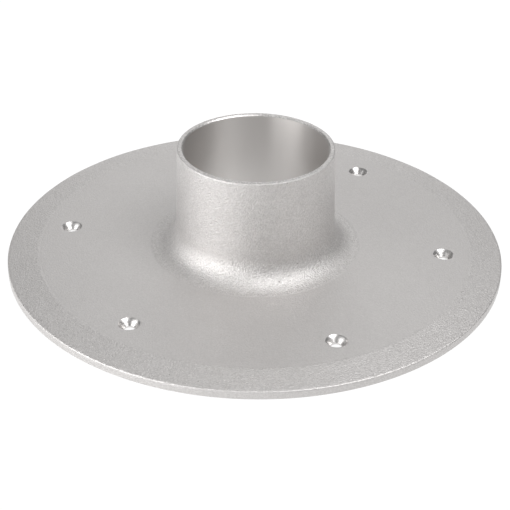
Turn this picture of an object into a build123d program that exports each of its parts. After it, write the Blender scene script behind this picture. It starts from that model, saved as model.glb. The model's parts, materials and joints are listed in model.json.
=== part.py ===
from build123d import *
from math import tan, radians
import os

os.makedirs("parts", exist_ok=True)

# Stanchion base: a round deck plate and an upright socket, cast in one piece of aluminium.
# Millimetres. The origin is the centre of the underside, +Z points up the socket's axis,
# and one of the six screw holes lies on +X.

# Deck plate: a level middle, and a shallow conical band that falls away to the edge.
plate_diameter = 210.0
plate_height = 4.6
edge_thickness = 3.2
level_diameter = 182.8
edge_round = 0.5

# The underside is relieved between its outer foot and its hub, so the wall stays as thin as the edge.
relief_depth = plate_height - edge_thickness
relief_outer_diameter = 178.0
relief_inner_diameter = 76.0

# Socket: its outside has a moulding draft, and its inside is bored straight through.
socket_height = 49.4
rim_diameter = 65.4
socket_draft = 1.7  # degrees, wider towards the plate
root_fillet = 10.0
rim_round = 0.5

# Bore for a 60.3 mm (2-3/8 in) stanchion tube, with 0.15 mm of radial clearance.
bore_diameter = 60.6
bore_chamfer = 0.5

# Countersunk holes for 4.2 mm (No. 8) flat-head screws.
hole_circle_diameter = 161.0
hole_count = 6
hole_diameter = 4.3
countersink_diameter = 8.6
countersink_angle = 82

plate_radius = plate_diameter / 2
rim_radius = rim_diameter / 2
bore_radius = bore_diameter / 2
relief_outer_radius = relief_outer_diameter / 2
relief_inner_radius = relief_inner_diameter / 2
socket_foot_radius = rim_radius + (socket_height - plate_height) * tan(radians(socket_draft))


def circles(builder, radius):
    """The circular edges that have this radius."""
    round_edges = builder.edges().filter_by(GeomType.CIRCLE)
    return round_edges.filter_by(lambda edge: abs(edge.radius - radius) < 0.001)


with BuildPart() as base_casting:
    # Half section of the casting as it leaves the mould, with its core still solid.
    with BuildSketch(Plane.XZ) as half_section:
        with BuildLine():
            Polyline(
                (0, 0),
                (relief_inner_radius, 0),
                (relief_inner_radius + relief_depth, relief_depth),
                (relief_outer_radius - relief_depth, relief_depth),
                (relief_outer_radius, 0),
                (plate_radius, 0),
                (plate_radius, edge_thickness),
                (level_diameter / 2, plate_height),
                (socket_foot_radius, plate_height),
                (rim_radius, socket_height),
                (0, socket_height),
                close=True,
            )
        make_face()
    revolve(axis=Axis.Z)

    # The sweep that carries the socket into the plate, and the softened upper corners.
    fillet(circles(base_casting, socket_foot_radius), radius=root_fillet)
    fillet(circles(base_casting, rim_radius), radius=rim_round)
    fillet(circles(base_casting, plate_radius).sort_by(Axis.Z)[-1], radius=edge_round)

    # The machined bore, chamfered at both mouths.
    with Locations((0, 0, socket_height)):
        Hole(radius=bore_radius)
    chamfer(circles(base_casting, bore_radius), length=bore_chamfer)

    # The ring of countersunk screw holes.
    with Locations(Plane.XY.offset(plate_height)):
        with PolarLocations(hole_circle_diameter / 2, hole_count):
            CounterSinkHole(
                radius=hole_diameter / 2,
                counter_sink_radius=countersink_diameter / 2,
                counter_sink_angle=countersink_angle,
            )

base_casting.part.label = "base_casting"
export_step(base_casting.part, "parts/base_casting.step")
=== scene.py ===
import json
import math

import bmesh
import bpy
from mathutils import Matrix, Vector, noise


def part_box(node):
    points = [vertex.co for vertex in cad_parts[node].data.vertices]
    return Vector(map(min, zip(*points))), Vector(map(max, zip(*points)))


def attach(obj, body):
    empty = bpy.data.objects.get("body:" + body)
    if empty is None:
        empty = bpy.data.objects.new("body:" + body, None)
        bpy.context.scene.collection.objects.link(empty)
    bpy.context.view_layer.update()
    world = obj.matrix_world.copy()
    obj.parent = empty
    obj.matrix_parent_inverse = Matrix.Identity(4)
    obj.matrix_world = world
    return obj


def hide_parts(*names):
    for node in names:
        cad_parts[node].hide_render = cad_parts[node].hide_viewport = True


# A stanchion base: one aluminium casting with a turned bore and countersunk screw holes.
# Lengths are in metres, in the CAD model's frame: Z runs up the socket, and one hole lies on +X.

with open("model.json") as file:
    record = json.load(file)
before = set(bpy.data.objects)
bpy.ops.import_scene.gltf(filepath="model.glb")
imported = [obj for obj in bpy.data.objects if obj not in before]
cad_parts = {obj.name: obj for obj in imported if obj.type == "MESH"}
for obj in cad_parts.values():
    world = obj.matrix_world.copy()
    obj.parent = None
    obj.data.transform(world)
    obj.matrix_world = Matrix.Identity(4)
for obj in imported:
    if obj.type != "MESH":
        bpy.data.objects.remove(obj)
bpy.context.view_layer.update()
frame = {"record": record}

MM = 0.001
NODE = "base_casting"
SKIN, FACED, TURNED, DRILLED = range(4)

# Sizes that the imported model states
record_mounts = {mount["name"]: mount["dims"] for mount in frame["record"]["mounts"]}
PLATE_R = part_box(NODE)[1].x
SOCKET_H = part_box(NODE)[1].z
BORE_R = record_mounts["stanchion_bore"]["r_mm"] * MM
HOLES = record_mounts["deck_screws"]["count"]
HOLE_R = record_mounts["deck_screws"]["hole_r_mm"] * MM
HOLE_CIRCLE_R = record_mounts["deck_screws"]["pcd_mm"] / 2 * MM

# Sizes that repeat the CAD model's
PLATE_H = 4.6 * MM
EDGE_T = 3.2 * MM
LEVEL_R = 91.4 * MM
EDGE_ROUND = 0.5 * MM
RELIEF = PLATE_H - EDGE_T
RELIEF_OUT_R = 89 * MM
RELIEF_IN_R = 38 * MM
RIM_R = 32.7 * MM
RIM_ROUND = 0.5 * MM
DRAFT = math.radians(1.7)
FILLET_R = 10 * MM
BORE_CHAMFER = 0.5 * MM
SINK_R = 4.3 * MM
SINK_ANGLE = math.radians(82)

# The mesh's fineness
COLUMNS = 480  # round the axis
STEP = 1.05 * MM  # between rings of cast skin
WIDE_STEP = 3 * MM  # between rings of machined wall and of the plain underside
ROUND_STEPS = 4  # in each small edge round
FILLET_STEPS = 16
WINDOW = 6  # columns and rings each side of a hole that make way for its own patch
PATCH_RINGS = 4
EDGE_BREAK = 0.05 * MM  # on the drilled edges
LEVEL_COARSENESS = 0.25  # of the skin's grain on the level part, where 1 is the coarsest


# Half section of the casting


def along(start, end, step):
    """Evenly spaced points of a straight stretch, without its last point."""
    count = max(1, round(math.dist(start, end) / step))
    return [tuple(a + (b - a) * i / count for a, b in zip(start, end)) for i in range(count)]


def arc(centre, radius, first, last, count):
    """Evenly spaced points of an arc, without its last point."""
    angles = [first + (last - first) * i / count for i in range(count)]
    return [(centre[0] + radius * math.cos(a), centre[1] + radius * math.sin(a)) for a in angles]


def half_section():
    """The closed section as rings, each (radius, height, material, unevenness, coarseness)."""
    quarter = math.pi / 2
    fall = math.atan2(PLATE_H - EDGE_T, PLATE_R - LEVEL_R)
    hole_zone = (HOLE_CIRCLE_R - WINDOW * STEP, HOLE_CIRCLE_R + WINDOW * STEP)
    edge_r = PLATE_R - EDGE_ROUND
    edge_z = PLATE_H - (edge_r - LEVEL_R) * math.tan(fall) - EDGE_ROUND / math.cos(fall)
    band_r, band_z = edge_r + EDGE_ROUND * math.sin(fall), edge_z + EDGE_ROUND * math.cos(fall)
    foot_r = RIM_R + (SOCKET_H - PLATE_H) * math.tan(DRAFT)
    fillet = (foot_r + FILLET_R * math.tan(quarter / 2 - DRAFT / 2), PLATE_H + FILLET_R)
    wall_z = fillet[1] - FILLET_R * math.sin(DRAFT)
    wall_r = RIM_R + (SOCKET_H - wall_z) * math.tan(DRAFT)
    rim = (RIM_R - RIM_ROUND, SOCKET_H - RIM_ROUND)
    mouth_r = BORE_R + BORE_CHAMFER
    bore_top = SOCKET_H - BORE_CHAMFER
    rings = []

    def add(points, material, unevenness=0.0, coarseness=0.0):
        rings.extend((r, z, material, unevenness, coarseness) for r, z in points)

    # The underside, outwards: the hub's foot, the relief, and the outer foot
    ceiling = (RELIEF_IN_R + RELIEF, RELIEF_OUT_R - RELIEF)
    add(along((mouth_r, 0), (RELIEF_IN_R, 0), WIDE_STEP), SKIN, 0, 0.4)
    add(along((RELIEF_IN_R, 0), (ceiling[0], RELIEF), STEP), SKIN, 0, 0.4)
    add(along((ceiling[0], RELIEF), (hole_zone[0], RELIEF), WIDE_STEP), SKIN, 0, 0.4)
    add(along((hole_zone[0], RELIEF), (hole_zone[1], RELIEF), STEP), SKIN, 0, 0.4)
    add(along((hole_zone[1], RELIEF), (ceiling[1], RELIEF), WIDE_STEP), SKIN, 0, 0.4)
    add(along((ceiling[1], RELIEF), (RELIEF_OUT_R, 0), STEP), SKIN, 0, 0.4)
    add(along((RELIEF_OUT_R, 0), (PLATE_R, 0), WIDE_STEP), SKIN, 0, 0.4)
    # The plate's edge, upwards from its sharp lower corner
    add([(PLATE_R, 0)], SKIN, 0, 0.5)
    add(along((PLATE_R, STEP / 2), (PLATE_R, edge_z), STEP / 2), SKIN, 1, 0.5)
    add(arc((edge_r, edge_z), EDGE_ROUND, 0, quarter - fall, ROUND_STEPS), SKIN, 1, 0.5)
    # The conical band and the level part, inwards
    add(along((band_r, band_z), (LEVEL_R, PLATE_H), STEP), SKIN, 1, 0.7)
    add(along((LEVEL_R, PLATE_H), (hole_zone[1], PLATE_H), STEP), SKIN, 1, LEVEL_COARSENESS)
    add(along((hole_zone[1], PLATE_H), (hole_zone[0], PLATE_H), STEP), SKIN, 1, LEVEL_COARSENESS)
    add(along((hole_zone[0], PLATE_H), (fillet[0], PLATE_H), STEP), SKIN, 1, LEVEL_COARSENESS)
    # The root fillet and the socket's outside, upwards
    add(arc(fillet, FILLET_R, 3 * quarter, 2 * quarter + DRAFT, FILLET_STEPS), SKIN, 1, 1)
    add(along((wall_r, wall_z), (RIM_R, rim[1]), STEP), SKIN, 1, 0.8)
    add(arc(rim, RIM_ROUND, 0, quarter, ROUND_STEPS), SKIN, 0, 0.9)
    # The rim's land and the bore, downwards
    add(along((rim[0], SOCKET_H), (mouth_r, SOCKET_H), STEP), FACED)
    add(along((mouth_r, SOCKET_H), (BORE_R, bore_top), STEP), FACED)
    add(along((BORE_R, bore_top), (BORE_R, BORE_CHAMFER), WIDE_STEP), TURNED)
    add([(BORE_R, BORE_CHAMFER)], TURNED)
    return rings


# The casting's mesh


class Surface:
    """Points with an unevenness and a coarseness each, and faces with a material each."""

    def __init__(self):
        self.points, self.unevenness, self.coarseness = [], [], []
        self.faces, self.materials = [], []

    def point(self, place, unevenness, coarseness):
        self.points.append(Vector(place))
        self.unevenness.append(unevenness)
        self.coarseness.append(coarseness)
        return len(self.points) - 1

    def face(self, corners, material):
        self.faces.append(corners)
        self.materials.append(material)

    def circle(self, angle, radius, z, count):
        """A loop of points round the hole that stands at this angle."""
        x, y = HOLE_CIRCLE_R * math.cos(angle), HOLE_CIRCLE_R * math.sin(angle)
        turns = [angle + math.tau * i / count for i in range(count)]
        places = [(x + radius * math.cos(a), y + radius * math.sin(a), z) for a in turns]
        return [self.point(place, 0, LEVEL_COARSENESS) for place in places]

    def between(self, outer, inner, share):
        """A loop of points part of the way from one loop to another."""
        places = [self.points[a].lerp(self.points[b], share) for a, b in zip(outer, inner)]
        unevenness = (1 - share) * self.unevenness[outer[0]]
        return [self.point(place, unevenness, LEVEL_COARSENESS) for place in places]

    def strip(self, one, other, material):
        """A closed strip of faces between two loops."""
        for i in range(len(one)):
            j = (i + 1) % len(one)
            self.face((one[i], one[j], other[j], other[i]), material)

    def patch(self, outer, inner):
        """Cast skin between a hole's window in the grid and the hole's round mouth."""
        loops = [self.between(outer, inner, i / PATCH_RINGS) for i in range(1, PATCH_RINGS)]
        loops = [outer, *loops, inner]
        for one, other in zip(loops, loops[1:]):
            self.strip(one, other, SKIN)


def window_loop(outwards):
    """Steps (ring, column) round a hole's window. outwards is the way that rings count outwards."""
    w = WINDOW
    loop = [(w, c) for c in range(w)]
    loop += [(r, w) for r in range(w, -w, -1)]
    loop += [(-w, c) for c in range(w, -w, -1)]
    loop += [(r, -w) for r in range(-w, w)]
    loop += [(w, c) for c in range(-w, 0)]
    return [(outwards * r, c) for r, c in loop]


def casting_surface():
    rings = half_section()
    surface = Surface()
    for radius, z, _, unevenness, coarseness in rings:
        for column in range(COLUMNS):
            a = math.tau * column / COLUMNS
            place = (radius * math.cos(a), radius * math.sin(a), z)
            surface.point(place, unevenness, coarseness)

    def grid(ring, column):
        return ring % len(rings) * COLUMNS + column % COLUMNS

    def hole_ring(z):
        level = [i for i, ring in enumerate(rings) if abs(ring[1] - z) < 0.001 * MM]
        return min(level, key=lambda i: abs(rings[i][0] - HOLE_CIRCLE_R))

    under, top = hole_ring(RELIEF), hole_ring(PLATE_H)
    middles = [COLUMNS // HOLES * hole for hole in range(HOLES)]
    window = range(-WINDOW, WINDOW)
    cut = {
        grid(ring + r, column + c)
        for ring in (under, top)
        for column in middles
        for r in window
        for c in window
    }
    for i, ring in enumerate(rings):
        for c in range(COLUMNS):
            if grid(i, c) not in cut:
                corners = (grid(i, c), grid(i, c + 1), grid(i + 1, c + 1), grid(i + 1, c))
                surface.face(corners, ring[2])

    for column in middles:
        angle = math.tau * column / COLUMNS
        top_window = [grid(top + r, column + c) for r, c in window_loop(-1)]
        under_window = [grid(under + r, column + c) for r, c in window_loop(1)]
        neck_z = PLATE_H - (SINK_R - HOLE_R) / math.tan(SINK_ANGLE / 2)
        walls = [
            surface.circle(angle, radius, z, len(top_window))
            for radius, z in (
                (SINK_R + EDGE_BREAK, PLATE_H),
                (SINK_R, PLATE_H - EDGE_BREAK / 2),
                ((SINK_R + HOLE_R) / 2, (PLATE_H + neck_z) / 2),
                (HOLE_R, neck_z),
                (HOLE_R, RELIEF),
            )
        ]
        for one, other in zip(walls, walls[1:]):
            surface.strip(one, other, DRILLED)
        surface.patch(top_window, walls[0])
        surface.patch(under_window, walls[-1])
    return surface


def make_casting():
    surface = casting_surface()
    mesh = bpy.data.meshes.new("casting")
    mesh.from_pydata(surface.points, [], surface.faces)
    mesh.polygons.foreach_set("material_index", surface.materials)
    coarseness = mesh.attributes.new("coarseness", "FLOAT", "POINT")
    coarseness.data.foreach_set("value", surface.coarseness)
    shape = bmesh.new()
    shape.from_mesh(mesh)
    bmesh.ops.recalc_face_normals(shape, faces=shape.faces)
    if shape.calc_volume(signed=True) < 0:
        bmesh.ops.reverse_faces(shape, faces=shape.faces)
    shape.to_mesh(mesh)
    shape.free()
    mesh.update()

    # A casting is never quite true: its skin rises and falls by a few hundredths of a millimetre
    normals = [v.normal.copy() for v in mesh.vertices]
    for v, normal, amount in zip(mesh.vertices, normals, surface.unevenness):
        if amount:
            wide = noise.noise(v.co / (16 * MM)) * 0.05 * MM
            close = noise.noise(v.co / (5 * MM)) * 0.02 * MM
            v.co += normal * (wide + close) * amount
    mesh.shade_smooth()
    mesh.set_sharp_from_angle(angle=math.radians(30))
    return bpy.data.objects.new("casting", mesh)


# Materials


class Shader:
    """A material's node tree, with short calls to add nodes to it."""

    def __init__(self, name):
        self.material = bpy.data.materials.new(name)
        self.material.use_nodes = True
        self.tree = self.material.node_tree
        self.tree.nodes.clear()

    def add(self, kind, settings=None, **inputs):
        """Adds a node, sets its properties, and sets or links its inputs by name."""
        node = self.tree.nodes.new(kind)
        for name, value in (settings or {}).items():
            setattr(node, name, value)
        for name, value in inputs.items():
            socket = node.inputs[int(name[1:]) if name[1:].isdigit() else name.replace("_", " ")]
            if isinstance(value, bpy.types.NodeSocket):
                self.tree.links.new(value, socket)
            else:
                socket.default_value = value
        return node

    def place(self):
        return self.add("ShaderNodeTexCoord").outputs["Object"]

    def noise(self, size, detail=2.0, roughness=0.5, vector=None):
        """Smooth noise from about 0 to 1, with features of this size in metres."""
        node = self.add(
            "ShaderNodeTexNoise",
            Vector=vector or self.place(),
            Scale=1 / size,
            Detail=detail,
            Roughness=roughness,
        )
        return node.outputs["Fac"]

    def remap(self, value, low, high, to_low=0.0, to_high=1.0):
        settings = {"clamp": True}
        limits = {"From_Min": low, "From_Max": high, "To_Min": to_low, "To_Max": to_high}
        node = self.add("ShaderNodeMapRange", settings, Value=value, **limits)
        return node.outputs["Result"]

    def math(self, operation, *values):
        inputs = {f"_{i}": value for i, value in enumerate(values)}
        return self.add("ShaderNodeMath", {"operation": operation}, **inputs).outputs[0]

    def blend(self, share, one, other):
        """A colour from one to other."""
        node = self.add("ShaderNodeMix", {"data_type": "RGBA"}, _0=share, _6=one, _7=other)
        return node.outputs[2]

    def bump(self, height, depth, strength=1.0, normal=None):
        node = self.add("ShaderNodeBump", Height=height, Distance=depth, Strength=strength)
        if normal:
            self.tree.links.new(normal, node.inputs["Normal"])
        return node.outputs["Normal"]

    def principled(self, **inputs):
        shader = self.add("ShaderNodeBsdfPrincipled", **inputs)
        self.add("ShaderNodeOutputMaterial", Surface=shader.outputs["BSDF"])
        return self.material


ALUMINIUM_LIGHT = (0.68, 0.664, 0.655, 1)
ALUMINIUM_DARK = (0.56, 0.545, 0.536, 1)
# Painted glint: the colour of the bright flecks, which stand in for the sparkle of blasted facets
GLINT_COLOUR = (0.9, 0.88, 0.87, 1)
# Painted shade: the dark colour of the small pits in the skin
PIT_SHADE = (0.22, 0.21, 0.2, 1)


def cast_skin():
    """Blasted casting skin: a fine sparkling grain, with bright flecks painted in as glints, and a
    few small pits painted dark as the shade inside them.
    """
    s = Shader("cast_skin")
    coarseness = s.add("ShaderNodeAttribute", {"attribute_name": "coarseness"}).outputs["Fac"]
    facets = s.add("ShaderNodeTexVoronoi", Vector=s.place(), Scale=1 / (0.55 * MM))
    facet = s.add("ShaderNodeSeparateColor", Color=facets.outputs["Color"]).outputs["Green"]
    fine = s.noise(0.6 * MM, detail=1)
    coarse = s.noise(1.5 * MM, detail=3, roughness=0.6)
    mottle = s.noise(14 * MM, detail=3, roughness=0.5)
    cells = s.add("ShaderNodeTexVoronoi", Vector=s.place(), Scale=1 / (1.6 * MM))
    chance = s.add("ShaderNodeSeparateColor", Color=cells.outputs["Color"]).outputs["Red"]
    contrast = s.math("MULTIPLY_ADD", coarseness, 0.9, 0.1)
    spot = s.remap(cells.outputs["Distance"], 0.06, 0.22, 1, 0)
    # Painted glints: bright flecks in random cells, stronger where the grain is coarser
    painted_glint = s.math("MULTIPLY", s.math("MULTIPLY", spot, s.remap(chance, 0.7, 0.9)), contrast)
    # Small pits: a real dent in the bump, with painted shade inside them
    pit_and_shade = s.math("MULTIPLY", s.math("MULTIPLY", spot, s.remap(chance, 0.025, 0.015)), coarseness)

    speckle = s.math("MULTIPLY", s.math("SUBTRACT", facet, 0.5), contrast)
    shade = s.math("ADD", speckle, s.math("MULTIPLY", mottle, 0.2))
    colour = s.blend(s.remap(shade, -0.4, 0.6), ALUMINIUM_DARK, ALUMINIUM_LIGHT)
    colour = s.blend(s.math("MULTIPLY", painted_glint, 0.9), colour, GLINT_COLOUR)
    colour = s.blend(pit_and_shade, colour, PIT_SHADE)
    normal = s.bump(s.math("MULTIPLY", fine, contrast), 0.32 * MM)
    normal = s.bump(s.math("MULTIPLY", coarse, coarseness), 0.14 * MM, normal=normal)
    normal = s.bump(pit_and_shade, -0.15 * MM, normal=normal)
    roughness = s.remap(fine, 0.3, 0.7, 0.52, 0.62)
    return s.principled(Metallic=1.0, Base_Color=colour, Roughness=roughness, Normal=normal)


def cut_rings(s, period):
    """Fine tool marks that run level, round whichever axis the tool turned on."""
    stretch = (0.02, 0.02, 1)
    level = s.add("ShaderNodeVectorMath", {"operation": "MULTIPLY"}, _0=s.place(), _1=stretch)
    return s.noise(period, detail=3, roughness=0.6, vector=level.outputs[0])


def faced_metal():
    """The rim: cut flat, then blasted along with the skin, so that it is a little smoother."""
    s = Shader("faced_metal")
    fine = s.noise(0.7 * MM, detail=2)
    colour = s.blend(s.remap(fine, 0.35, 0.65), (0.48, 0.467, 0.458, 1), (0.72, 0.704, 0.694, 1))
    roughness = s.remap(fine, 0.3, 0.7, 0.4, 0.5)
    normal = s.bump(fine, 0.1 * MM)
    return s.principled(Metallic=1.0, Base_Color=colour, Roughness=roughness, Normal=normal)


def turned_metal():
    """The bore: a satin cut surface whose highlights spread up and down, across its fine rings."""
    s = Shader("turned_metal")
    stain = s.noise(30 * MM, detail=2, roughness=0.4)
    colour = s.blend(s.remap(stain, 0.3, 0.7), (0.575, 0.555, 0.54, 1), (0.635, 0.615, 0.6, 1))
    tangent = s.add("ShaderNodeTangent", {"direction_type": "RADIAL", "axis": "Z"}).outputs[0]
    rings = cut_rings(s, 0.35 * MM)
    return s.principled(
        Metallic=0.8,
        Base_Color=colour,
        Roughness=s.remap(rings, 0.3, 0.7, 0.35, 0.38),
        Anisotropic=0.9,
        Anisotropic_Rotation=0.25,
        Tangent=tangent,
        Normal=s.bump(rings, 0.001 * MM),
    )


def drilled_metal():
    """The countersinks: bright metal, freshly cut and unblasted, with the cutter's rings."""
    s = Shader("drilled_metal")
    rings = cut_rings(s, 0.5 * MM)
    colour = s.blend(s.remap(rings, 0.3, 0.7), (0.62, 0.605, 0.595, 1), (0.74, 0.725, 0.715, 1))
    roughness = s.remap(rings, 0.3, 0.7, 0.3, 0.36)
    normal = s.bump(rings, 0.012 * MM)
    return s.principled(Metallic=1.0, Base_Color=colour, Roughness=roughness, Normal=normal)


def plain_surface(name, colour, glow):
    white = (1, 1, 1, 1)
    return Shader(name).principled(
        Base_Color=colour, Roughness=0.8, Emission_Color=white, Emission_Strength=glow
    )


# The object

casting = make_casting()
bpy.context.scene.collection.objects.link(casting)
for material in (cast_skin(), faced_metal(), turned_metal(), drilled_metal()):
    casting.data.materials.append(material)
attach(casting, "root")
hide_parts(NODE)


# The camera. It stands in front of the base, a little to the right, and looks down 31 degrees.

CAMERA_TURN = math.radians(6.9)
CAMERA_RISE = math.radians(31.24)
CAMERA_ROLL = math.radians(0.74)
CAMERA_DISTANCE = 558.8 * MM
CAMERA_AIM = Vector((0.1 * MM, 0, -2.9 * MM))


def from_azimuth(turn, rise):
    """The direction of a point this far round to the camera's right from -Y, and this far up."""
    flat = math.cos(rise)
    return Vector((math.sin(turn) * flat, -math.cos(turn) * flat, math.sin(rise)))


def aim(obj, place, target, roll=0.0):
    """Stands a camera or light at place, facing target."""
    turn = (target - place).to_track_quat("-Z", "Y").to_matrix().to_4x4()
    obj.matrix_world = Matrix.Translation(place) @ turn @ Matrix.Rotation(roll, 4, "Z")
    bpy.context.scene.collection.objects.link(obj)


camera = bpy.data.objects.new("camera", bpy.data.cameras.new("camera"))
camera.data.sensor_width = 36
camera.data.lens = 91.35
camera.data.clip_start = 0.01
aim(camera, from_azimuth(CAMERA_TURN, CAMERA_RISE) * CAMERA_DISTANCE, CAMERA_AIM, CAMERA_ROLL)
bpy.context.scene.camera = camera


# The studio


LIGHT_AIM = Vector((0, 0, 20 * MM))


def softbox(name, turn, rise, distance, size, power):
    """A square area light that faces the object, turned this many degrees to the camera's right."""
    light = bpy.data.lights.new(name, "AREA")
    light.shape = "SQUARE"
    light.size = size
    light.energy = power
    direction = from_azimuth(CAMERA_TURN + math.radians(turn), math.radians(rise))
    aim(bpy.data.objects.new(name, light), direction * distance, LIGHT_AIM)


softbox("key", turn=-50, rise=15, distance=1.0, size=0.9, power=8.0)
softbox("side", turn=-75, rise=15, distance=1.0, size=0.9, power=4.2)
softbox("high", turn=60, rise=60, distance=1.0, size=0.5, power=6.7)
softbox("back", turn=180, rise=15, distance=1.0, size=0.9, power=2.05)
softbox("top back", turn=180, rise=62, distance=1.0, size=0.9, power=1.15)

# The floor glows, so that it stays plain white all round the object
bpy.ops.mesh.primitive_plane_add(size=6)
floor = bpy.context.object
floor.name = "floor"
floor.data.materials.append(plain_surface("floor", (0.05, 0.05, 0.05, 1), 0.95))

world = bpy.data.worlds.new("studio")
bpy.context.scene.world = world
world.use_nodes = True
world.node_tree.nodes["Background"].inputs["Color"].default_value = (1, 1, 1, 1)
world.node_tree.nodes["Background"].inputs["Strength"].default_value = 0.225
bpy.context.scene.view_settings.view_transform = "Standard"
